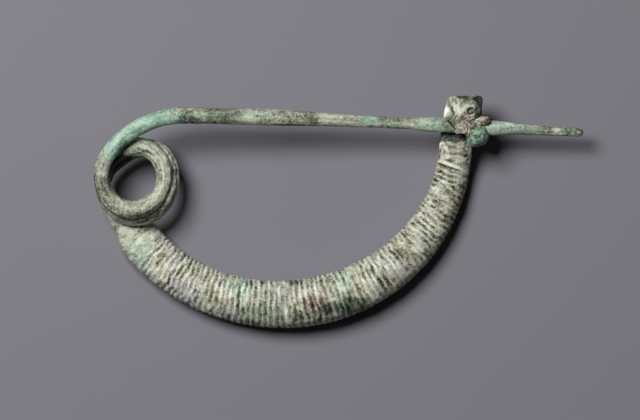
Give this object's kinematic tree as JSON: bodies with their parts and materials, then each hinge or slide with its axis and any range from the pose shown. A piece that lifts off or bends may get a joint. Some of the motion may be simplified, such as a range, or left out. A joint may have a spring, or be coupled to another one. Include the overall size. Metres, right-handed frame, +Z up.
{
  "type": "fibula brooch",
  "caption": "Ancient bronze arch fibula: a ribbed bow, a coiled spring and a long pin held in a hooked catch, with green patina.",
  "frame": {"origin": "under the middle of the brooch's box, on the surface it lies on", "axes": "+X along the pin to its tip, +Y from the bow to the pin, +Z up from the surface it lies on"},
  "size_m": [0.08, 0.038, 0.0122],
  "materials": {
    "patinated_bronze": "corroded green and grey patina"
  },
  "bodies": {
    "root": {"fibula": "patinated_bronze"}
  },
  "joints": []
}
